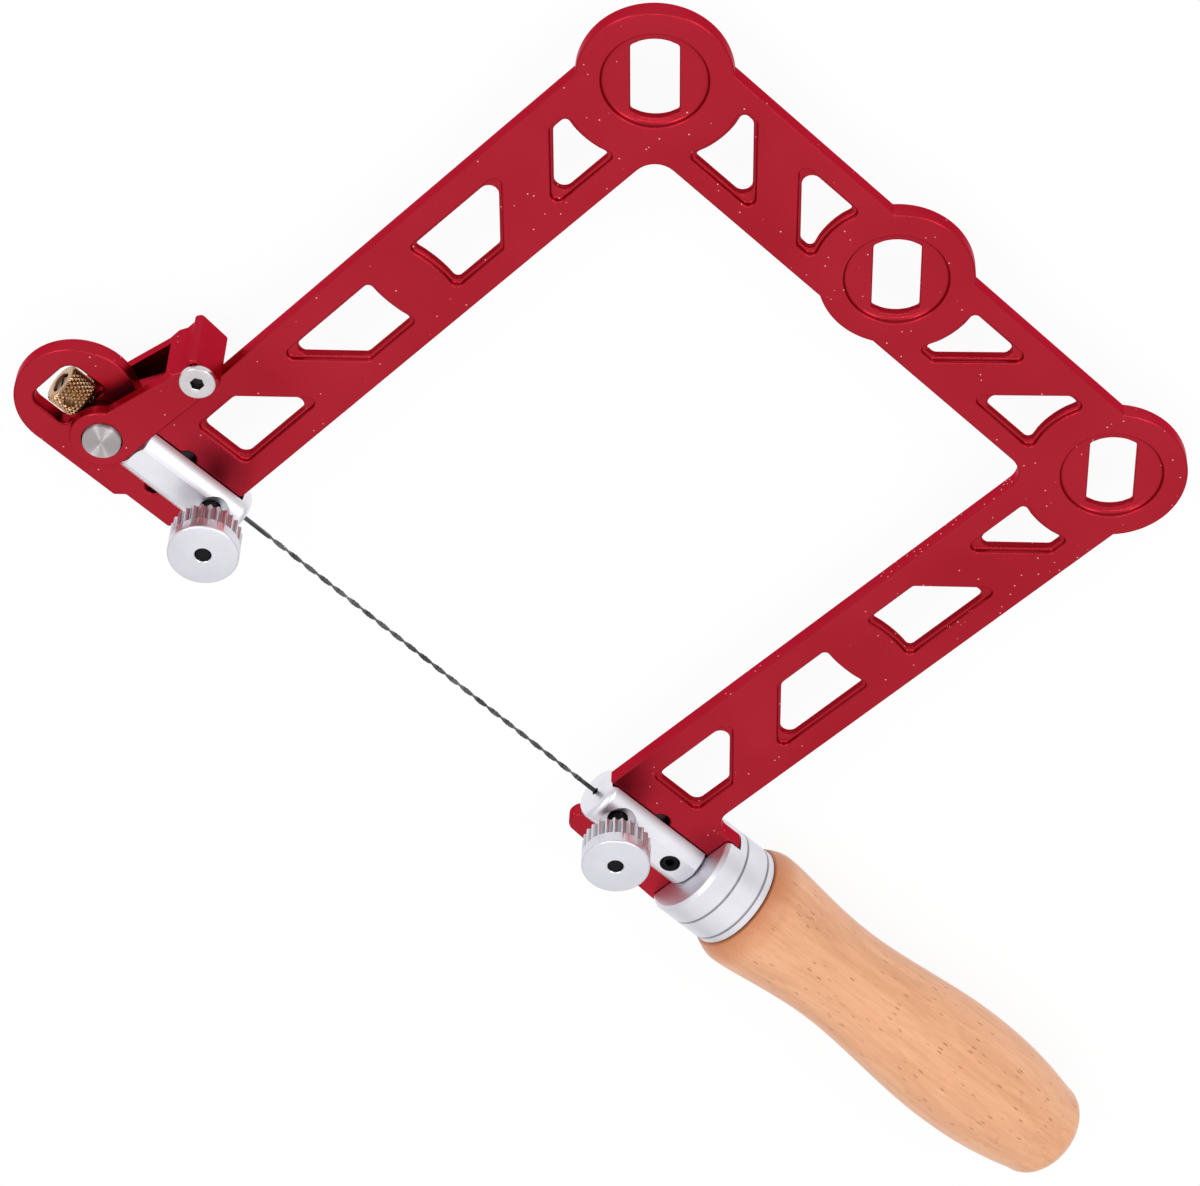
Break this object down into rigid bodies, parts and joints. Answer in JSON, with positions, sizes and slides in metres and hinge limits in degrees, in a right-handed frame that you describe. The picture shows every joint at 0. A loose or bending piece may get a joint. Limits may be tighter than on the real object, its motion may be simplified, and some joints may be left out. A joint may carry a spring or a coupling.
{
  "type": "jeweler saw frame",
  "caption": "Flat pierced square saw frame with a cam lever that tensions a fine spiral blade, knurled clamp knobs and a turned handle.",
  "frame": {"origin": "middle of the footprint of the saw lying on its side, at the lowest level of the handle", "axes": "+X along the blade towards the handle, +Y from the blade towards the back bar, +Z out of the plate on the knob side"},
  "size_m": [0.3138, 0.1718, 0.034],
  "materials": {
    "red_anodised": "satin red anodised",
    "satin_aluminium": "satin, clear anodised",
    "black_steel": "black oxide",
    "steel": "turned, bright",
    "brass": "knurled, bright",
    "beech": "satin lacquer",
    "blade_steel": "dark hardened"
  },
  "bodies": {
    "frame": {"frame_plate": "red_anodised", "lever_pivot_pin": "steel", "pin_retaining_clip": "steel", "lower_clamp_body": "satin_aluminium", "lower_clamp_anvil": "black_steel", "lower_clamp_set_screw": "black_steel", "ferrule": "satin_aluminium", "ferrule_lock_screw": "black_steel", "handle_grip": "beech", "handle_tang": "steel", "handle_insert": "brass", "saw_blade": "blade_steel"},
    "lever": {"tension_lever": "red_anodised", "lever_cross_screw": "steel"},
    "carriage": {"upper_clamp_body": "satin_aluminium", "upper_clamp_anvil": "black_steel", "draw_rod": "steel"},
    "tension_nut_body": {"tension_nut": "brass"},
    "upper_screw": {"upper_clamp_knob": "satin_aluminium", "upper_clamp_stud": "black_steel"},
    "lower_screw": {"lower_clamp_knob": "satin_aluminium", "lower_clamp_stud": "black_steel"}
  },
  "joints": [
    {"name": "lever_hinge", "type": "hinge", "parent": "frame", "child": "lever", "pos_m": [-0.13615, -0.07122, 0.01465], "axis": [0, 0, 1], "range_deg": [0, 65]},
    {"name": "carriage_slide", "type": "slide", "parent": "frame", "child": "carriage", "axis": [1, 0, 0], "range_m": [0, 0.00081]},
    {"name": "tension_nut_turn", "type": "hinge", "parent": "carriage", "child": "tension_nut_body", "pos_m": [-0.1426, -0.07122, 0.01465], "axis": [1, 0, 0], "continuous": true},
    {"name": "upper_screw_turn", "type": "hinge", "parent": "carriage", "child": "upper_screw", "pos_m": [-0.10695, -0.07122, 0.01465], "axis": [0, 0, 1], "continuous": true},
    {"name": "lower_screw_turn", "type": "hinge", "parent": "frame", "child": "lower_screw", "pos_m": [0.01255, -0.07122, 0.01465], "axis": [0, 0, 1], "continuous": true}
  ],
  "couplings": [
    {"joint": "carriage_slide", "follows": "lever_hinge", "m_per_rad": 0.00070518}
  ]
}
